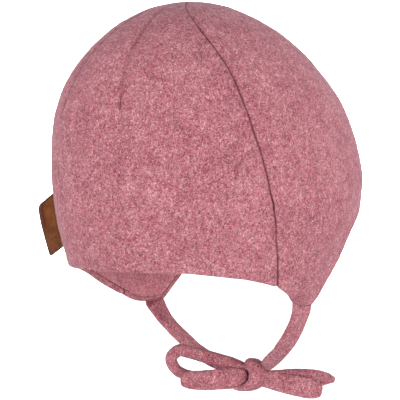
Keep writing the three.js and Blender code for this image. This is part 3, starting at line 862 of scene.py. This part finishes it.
TAIL_LEFT = table(
    STRAP,
    (-2, -3, -1.9, 8.6, 3.6, 0, 0, 1),
    (-9, -4.6, -2.3, 11.4, 5, 0, 0, 1),
    (-23.6, -5, -3.6, 10.7, 5.4, 0, 0, 1),
    (-33.4, -5, -3.8, 9.5, 5.2, 0, 0, 1),
    (-36.8, -5, -3.6, 7, 4.4, 0, 0, 1),
    (-38, -5, -3.5, 3.8, 2.6, 0, 0, 1),
)
LOOP_RIGHT = table(
    STRAP,
    (2, 1.8, -2.6, 6, 3.4, 0, 0, 1),
    (9.2, 1.6, -2.6, 8.8, 4, 0, 0, 1),
    (18.4, 1.6, -2.6, 9.8, 4.2, 0, 0, 1),
    (27, 1.6, -2.4, 9.8, 4.2, 0, 0, 1),
    (34, 1.9, -2.2, 9.2, 4.2, 0, 0.1, 1),
    (39.2, 3.2, -2.4, 6.6, 4, 0, 0.2, 1),
    (41.6, 5.6, -2.9, 3.2, 3.8, 0, 0.3, 1),
    (38.4, 8, -2.6, 6.4, 4.2, 0, 0.2, 1),
    (31, 8.8, -2.2, 8.6, 4.4, 0, 0.1, 1),
    (22.1, 8.5, -2, 8.8, 4.4, 0, 0, 1),
    (13.1, 7.6, -2, 7.8, 4.2, 0, 0, 1),
    (2, 5.6, -2.4, 5, 3, 0, 0, 1),
)
TAIL_RIGHT = table(
    STRAP,
    (2, -3, -2, 7, 3.6, 0, 0, 1),
    (12, -3.8, -3.4, 9.8, 4.6, 0, 0.1, 1),
    (21, -4.2, -5.2, 10.8, 4.8, 0, 0.15, 1),
    (30, -4.2, -6.9, 10.6, 4.8, 0, 0.15, 1),
    (35.4, -4.2, -8, 8.8, 4.6, 0, 0.15, 1),
    (38.6, -4.2, -8.6, 5.4, 3, 0, 0.15, 1),
)
make_strap("right_tie", RIGHT_TIE, 64, 0.8, tie_relief(True, -1), saddle=True)
make_strap("left_tie", LEFT_TIE, 64, 0.8, tie_relief(True, 1), saddle=True)
make_strap("bow_loop_left", LOOP_LEFT, 64, 0.9, tie_relief(False), frame_turn=BOW_FRAME)
make_strap("bow_tail_left", TAIL_LEFT, 64, 0.7, tie_relief(False), frame_turn=BOW_FRAME)
make_strap("bow_loop_right", LOOP_RIGHT, 64, 0.9, tie_relief(False), frame_turn=BOW_FRAME)
make_strap("bow_tail_right", TAIL_RIGHT, 64, 0.7, tie_relief(False), frame_turn=BOW_FRAME)
make_strap("bow_knot", KNOT, 72, 0.4, knot_relief, corner=0.8, frame_turn=BOW_FRAME)


# ---- Leather tab --------------------------------------------------------------------------------
ROOTS = (1, -0.4)  # where the under and the over side leave the seam
# The drops of its edges at the seam, how far it stands out and hangs down, its thickness, the
# degrees that it leans towards the face, and the radius of its trimmed corners
TAB = {"top": 88, "bottom": 115, "reach": 21.4, "fall": 17.6, "thick": 2.6, "lean": 34}
TAB_CORNER = 1.1
TAB_DISH = 0.35  # how far its middle bows up at the fold


def tab_points(around, rows):
    """One strip of leather folded double: its section is a long U closed at the seam end. Also
    how much painted shade lies along its fold and how near it is to an edge, each from 0 to 1."""
    middle = 0.5 * (TAB["top"] + TAB["bottom"])
    azimuth = -float(seam_line(middle))
    out = unit(form_normal(azimuth, math.sqrt(middle)) * (1, 1, 0))
    lean = math.radians(TAB["lean"])
    out_x = out[0] * math.cos(lean) - out[1] * math.sin(lean)
    out_y = out[0] * math.sin(lean) + out[1] * math.cos(lean)
    outward = np.array((out_x * TAB["reach"], out_y * TAB["reach"], -TAB["fall"]))
    reach = np.linalg.norm(outward)
    ends = [wall_point(-seam_line(d), d, 0) for d in (TAB["top"], TAB["bottom"])]
    face = unit(np.cross(outward, ends[0] - ends[1]))
    # The section's outline: distance out from the seam and height off the middle plane
    half = 0.5 * TAB["thick"]
    under = np.linspace(ROOTS[0], reach - half, around)
    over = np.linspace(reach - half, ROOTS[1], around)
    bend = np.linspace(-math.pi / 2, math.pi / 2, 15)[1:-1]
    out_mm = np.concatenate((under, reach - half + half * np.cos(bend), over, under[:1]))
    lift = np.concatenate((-half + 0 * under, half * np.sin(bend), half + 0 * over, [-half]))
    share = np.linspace(0, 1, rows + 1)[:, None]
    height = TAB["bottom"] - TAB["top"]
    to_edge = np.minimum(share, 1 - share) * height
    cut = rolled(to_edge, TAB_CORNER)
    drop = TAB["top"] + share * height
    seam_at = wall_point(-seam_line(drop), drop, 0)
    trimmed = np.where(out_mm > 0.6 * reach, out_mm - cut * (out_mm / reach), out_mm + 0 * cut)
    dish = TAB_DISH * np.sin(share * math.pi) * (out_mm / reach) ** 2
    spread = 1 + 0.055 * (share - 0.25)
    outward = outward * np.stack((spread, spread, np.ones_like(share)), -1)
    points = seam_at + outward * (trimmed / reach)[..., None]
    points = points + face * (lift + dish)[..., None]
    # Painted shade in the crease along the fold, on the upper part of the tab
    fold = hump((out_mm - reach + 2.2) / 1.1) * smooth(share, 0.62, 0.4)
    edge = np.maximum(hump(to_edge / 0.5) + 0 * out_mm, hump((reach - out_mm) / 0.9) + 0 * to_edge)
    return points, fold, np.clip(edge, 0, 1)


tab_at, tab_fold, tab_edge = tab_points(34, 40)
make_piece(
    "label_tab_leather", tab_at, tab_leather, "leather", "label_tab", fold=tab_fold, edge=tab_edge
)


# ---- Floor, light and camera --------------------------------------------------------------------
def pale_floor():
    """A sweep of opal acrylic, cast and matt, that glows with painted light: plain white that dims
    gently towards the middle, where the hat hangs over it."""
    material, tree = new_material("opal_acrylic_sweep")
    coords = add(tree, "TexCoord").outputs["Object"]
    flat = add(tree, "VectorMath", {0: coords, 1: (1, 1, 0)}, operation="MULTIPLY").outputs[0]
    away = add(tree, "VectorMath", {0: flat}, operation="LENGTH").outputs["Value"]
    # The painted glow: dim under the hat, rising to white far off
    glow = {"Value": away, "From Min": 0.8, "From Max": 2.2, "To Min": 0.11, "To Max": 0.8}
    stipple = add(tree, "TexNoise", speckle(coords, 4)).outputs["Fac"]
    bump = add(tree, "Bump", {"Strength": 0.05, "Distance": 0.2 * MM, "Height": stipple})
    shader = add(
        tree,
        "BsdfPrincipled",
        {
            "Base Color": "#F4F4F4",
            "Roughness": 0.9,
            "Normal": bump.outputs[0],
            "Emission Color": "#FFFFFF",
            "Emission Strength": add(tree, "MapRange", glow).outputs[0],
        },
    )
    add(tree, "OutputMaterial", {"Surface": shader.outputs[0]})
    return material


FLOOR_Z = -0.42
floor_mesh = bpy.data.meshes.new("floor")
bm = bmesh.new()
bmesh.ops.create_circle(bm, cap_ends=True, segments=96, radius=14)
bmesh.ops.translate(bm, verts=bm.verts, vec=(0, 0, FLOOR_Z))
bm.to_mesh(floor_mesh)
bm.free()
floor_mesh.materials.append(pale_floor())
floor = bpy.data.objects.new("floor", floor_mesh)
bpy.context.scene.collection.objects.link(floor)
floor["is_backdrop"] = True

world = bpy.data.worlds.new("white_studio")
bpy.context.scene.world = world
world.use_nodes = True
sky = world.node_tree
way = add(sky, "TexCoord").outputs["Generated"]
height = add(sky, "SeparateXYZ", {"Vector": way}).outputs["Z"]
shades = ((0.12, "#FFFFFF"), (0.3, "#161616"), (0.6, "#161616"), (1.0, "#8C8C8C"))
walls = add(sky, "ValToRGB", {"Fac": height}, shades)
sky.links.new(walls.outputs["Color"], sky.nodes["Background"].inputs["Color"])
sky.nodes["Background"].inputs["Strength"].default_value = 4.05

AIM = Vector((0.00257, 0.00257, -0.0971))  # the hat's middle, in metres


def turned(azimuth, elevation):
    """The way from the hat to a place round it; azimuth 0 is in front of the face."""
    a, e = math.radians(azimuth), math.radians(elevation)
    return Vector((math.sin(a) * math.cos(e), -math.cos(a) * math.cos(e), math.sin(e)))


def aimed(name, data, azimuth, elevation, away):
    """A light or the camera in its place round the hat, aimed at the hat's middle."""
    way = turned(azimuth, elevation)
    made = bpy.data.objects.new(name, data)
    made.location = AIM + way * away
    made.rotation_euler = (-way).to_track_quat("-Z", "Y").to_euler()
    bpy.context.scene.collection.objects.link(made)
    return made


def add_light(name, azimuth, elevation, away, size, power):
    """A round softbox of a size in metres and a power in watts."""
    light = bpy.data.lights.new(name, "AREA")
    light.shape, light.size, light.energy = "DISK", size, power
    aimed(name, light, azimuth, elevation, away)


add_light("key_softbox", 245, 0, 1.6, 0.55, 3.8)
add_light("side_softbox", 205, 10, 1.6, 0.55, 0.8)
add_light("fill_softbox", 45, 25, 1.8, 1.2, 2)

camera_data = bpy.data.cameras.new("camera")
camera_data.lens = 242.3
camera_data.sensor_width = 36
bpy.context.scene.camera = aimed("camera", camera_data, azimuth=225, elevation=0, away=1.4)
bpy.context.scene.view_settings.view_transform = "Standard"

bpy.context.view_layer.update()
boxes = {"cad": CAD_BOX, "visual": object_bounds()}
boxes = {name: [list(corner) for corner in box] for name, box in boxes.items()}
